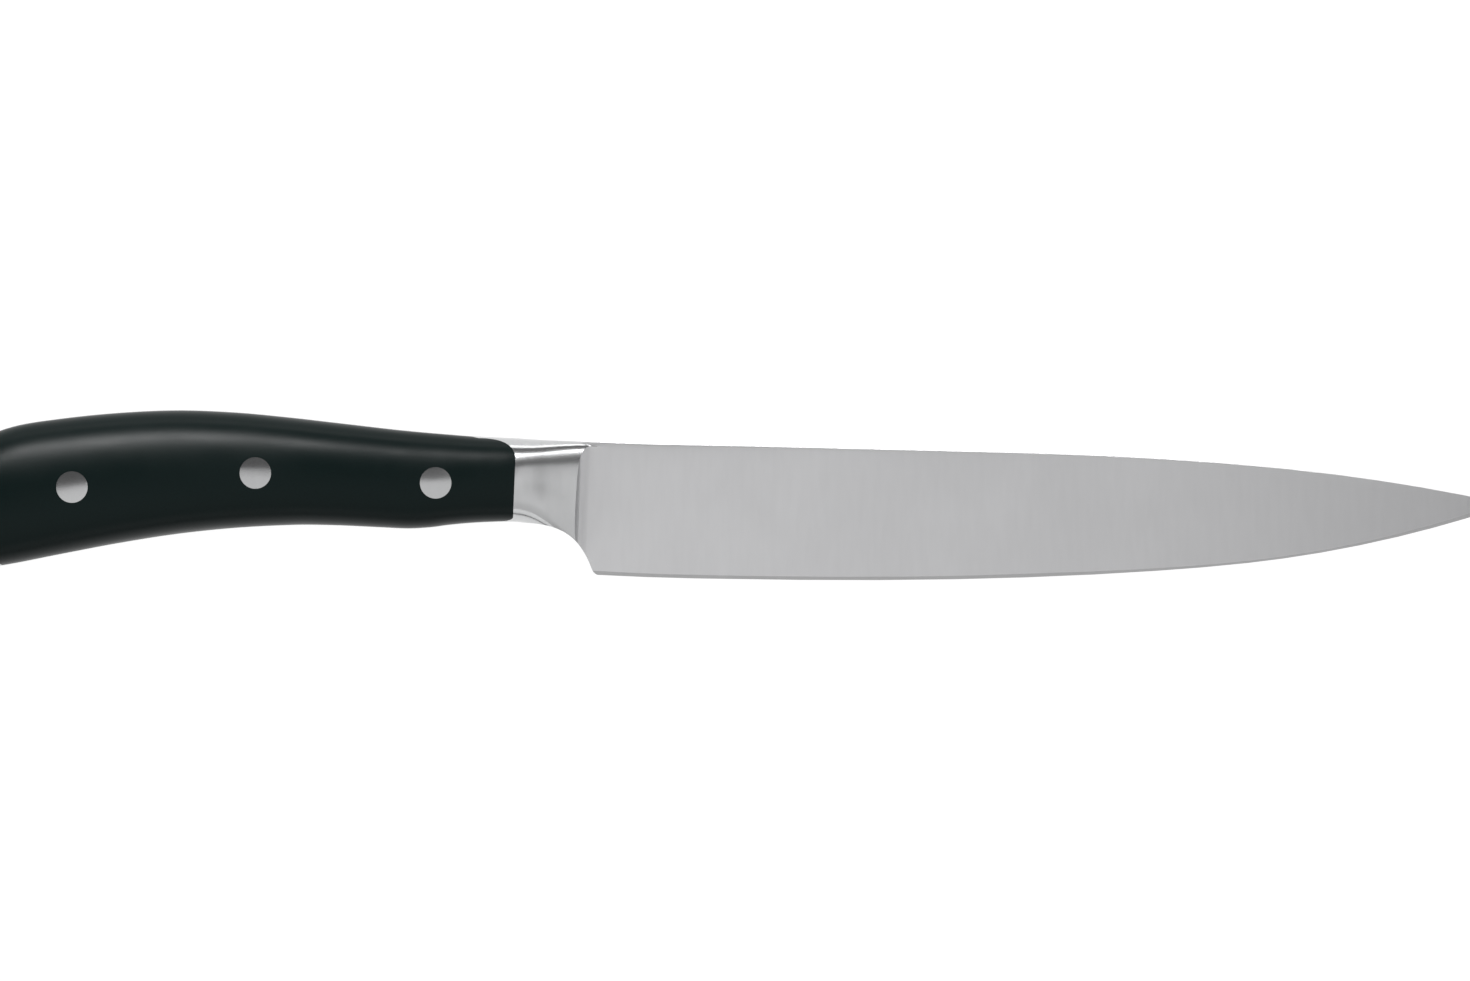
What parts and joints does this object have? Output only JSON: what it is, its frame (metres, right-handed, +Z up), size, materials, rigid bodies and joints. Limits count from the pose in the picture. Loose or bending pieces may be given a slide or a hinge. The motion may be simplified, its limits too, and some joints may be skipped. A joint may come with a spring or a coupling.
{
  "type": "carving knife",
  "caption": "Forged carving knife with a long slender blade, half bolster, full tang and dark riveted scales ground into an egg-shaped grip with a steel butt.",
  "frame": {"origin": "middle of the knife's footprint on the surface that it lies on, side down", "axes": "+X from the butt to the point, +Y from the cutting edge to the spine, +Z up from the surface, out of the knife's right-hand side"},
  "size_m": [0.3338, 0.0368, 0.019],
  "materials": {
    "blade_steel": "fine cross-ground satin, lines square to the blade's length",
    "grip_plastic": "black moulded plastic, ground and buffed to a soft satin sheen",
    "rivet_steel": "ground flush with the grip, fine lines square to its length"
  },
  "bodies": {
    "root": {"forged_blade": "blade_steel", "right_scale": "grip_plastic", "left_scale": "grip_plastic", "front_rivet_barrel": "rivet_steel", "front_rivet_pin": "rivet_steel", "middle_rivet_barrel": "rivet_steel", "middle_rivet_pin": "rivet_steel", "rear_rivet_barrel": "rivet_steel", "rear_rivet_pin": "rivet_steel"}
  },
  "joints": []
}
